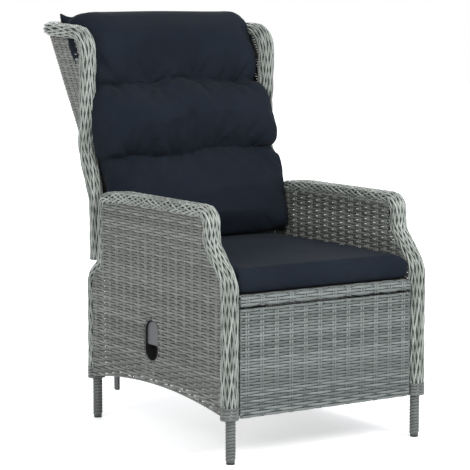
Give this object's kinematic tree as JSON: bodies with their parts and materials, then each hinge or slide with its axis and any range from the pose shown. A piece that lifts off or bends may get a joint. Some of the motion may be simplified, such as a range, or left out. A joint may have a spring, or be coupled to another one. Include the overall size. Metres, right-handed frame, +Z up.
{
  "type": "reclining garden armchair with footrest",
  "caption": "Woven wing-back garden recliner: hinged back, fold-out footrest, seat and back cushions and a recessed release paddle.",
  "frame": {"origin": "on the floor, under the middle of the whole box with the back upright", "axes": "+X to the sitter's left-hand side, +Y to the rear, +Z up"},
  "size_m": [0.63, 0.9679, 1.1103],
  "materials": {
    "frame_steel": "dark grey powder-coated steel",
    "side_weave": "woven half-round polyethylene strand, warm grey",
    "front_weave": "woven half-round polyethylene strand, cool grey",
    "edge_braid": "braided polyethylene strand, pale grey-green",
    "leg_wrap": "flat polyethylene strand wound round the leg",
    "foot_plastic": "moulded black foot",
    "cushion_fabric": "matt navy-anthracite outdoor polyester",
    "housing_plastic": "moulded black plastic, fine grain",
    "paddle_plastic": "moulded dark grey plastic, fine grain",
    "cable_sheath": "black cable sheath",
    "zinc_steel": "bright zinc-plated steel",
    "cylinder_paint": "black painted gas spring tube",
    "bush_plastic": "natural nylon"
  },
  "bodies": {
    "base": {"side_tube_left": "frame_steel", "side_tube_right": "frame_steel", "arch_rail_left": "frame_steel", "arch_rail_right": "frame_steel", "leg_wraps": "leg_wrap", "foot_caps": "foot_plastic", "outer_panel_left": "side_weave", "outer_panel_right": "side_weave", "inner_panel_left": "side_weave", "inner_panel_right": "side_weave", "front_roll_left": "edge_braid", "front_roll_right": "edge_braid", "arm_roll_left": "edge_braid", "arm_roll_right": "edge_braid", "rear_roll_left": "edge_braid", "rear_roll_right": "edge_braid", "seat_side_rails": "frame_steel", "seat_cross_tubes": "frame_steel", "seat_deck": "side_weave", "front_rail_weave": "front_weave", "seat_cushion": "cushion_fabric", "pivot_plates": "frame_steel", "back_pivot_bolts": "zinc_steel", "pivot_spacers": "zinc_steel", "footrest_brackets": "frame_steel", "footrest_pins": "zinc_steel", "spring_brackets": "frame_steel", "spring_front_pin": "zinc_steel", "lever_housing": "housing_plastic", "lever_pin": "zinc_steel", "release_cable": "cable_sheath"},
    "back": {"back_frame": "frame_steel", "back_rear_panel": "side_weave", "back_front_panel": "side_weave", "wing_left": "side_weave", "wing_right": "side_weave", "wing_roll_left": "edge_braid", "wing_roll_right": "edge_braid", "top_roll": "edge_braid", "lever_arm_left": "frame_steel", "lever_arm_right": "frame_steel", "lever_link_pins": "zinc_steel", "lever_cross_tube": "frame_steel", "spring_lugs": "frame_steel", "spring_rear_pin": "zinc_steel", "back_cushion": "cushion_fabric"},
    "footrest": {"footrest_top_tube": "frame_steel", "footrest_frame": "frame_steel", "footrest_panel": "front_weave", "footrest_arms": "frame_steel", "footrest_link_pins": "zinc_steel", "footrest_bushes": "bush_plastic"},
    "links": {"link_left": "frame_steel", "link_right": "frame_steel"},
    "gas_rod": {"gas_rod": "zinc_steel"},
    "gas_cylinder": {"gas_cylinder": "cylinder_paint"},
    "release_pin": {"release_pin": "zinc_steel"},
    "paddle": {"release_paddle": "paddle_plastic"}
  },
  "joints": [
    {"name": "back_recline", "type": "hinge", "parent": "base", "child": "back", "pos_m": [0, 0.179, 0.4], "axis": [-1, 0, 0], "range_deg": [0, 40]},
    {"name": "footrest_swing", "type": "hinge", "parent": "base", "child": "footrest", "pos_m": [0, -0.4597, 0.3785], "axis": [-1, 0, 0], "range_deg": [0, 85]},
    {"name": "link_turn", "type": "hinge", "parent": "back", "child": "links", "pos_m": [0, 0.17721, 0.32672], "axis": [-1, 0, 0], "range_deg": [-41, 0]},
    {"name": "spring_turn", "type": "hinge", "parent": "base", "child": "gas_rod", "pos_m": [0, -0.166, 0.345], "axis": [-1, 0, 0], "range_deg": [-10, 10]},
    {"name": "spring_stroke", "type": "slide", "parent": "gas_rod", "child": "gas_cylinder", "axis": [0, -0.9953, 0.0968], "range_m": [0, 0.065]},
    {"name": "paddle_pull", "type": "hinge", "parent": "base", "child": "paddle", "pos_m": [-0.297, -0.123, 0.3], "axis": [0, 1, 0], "range_deg": [0, 20], "stiffness_Nm_per_rad": 0.3, "springref_deg": -11.46},
    {"name": "release_press", "type": "slide", "parent": "gas_rod", "child": "release_pin", "axis": [0, 0.9953, -0.0968], "range_m": [0, 0.0021]}
  ],
  "couplings": [
    {"joint": "footrest_swing", "follows": "back_recline", "ratio": 2.125},
    {"joint": "link_turn", "follows": "back_recline", "ratio": -0.986},
    {"joint": "spring_turn", "follows": "back_recline", "ratio": -0.0075},
    {"joint": "spring_stroke", "follows": "back_recline", "m_per_rad": 0.089},
    {"joint": "release_press", "follows": "paddle_pull", "m_per_rad": 0.00573}
  ]
}
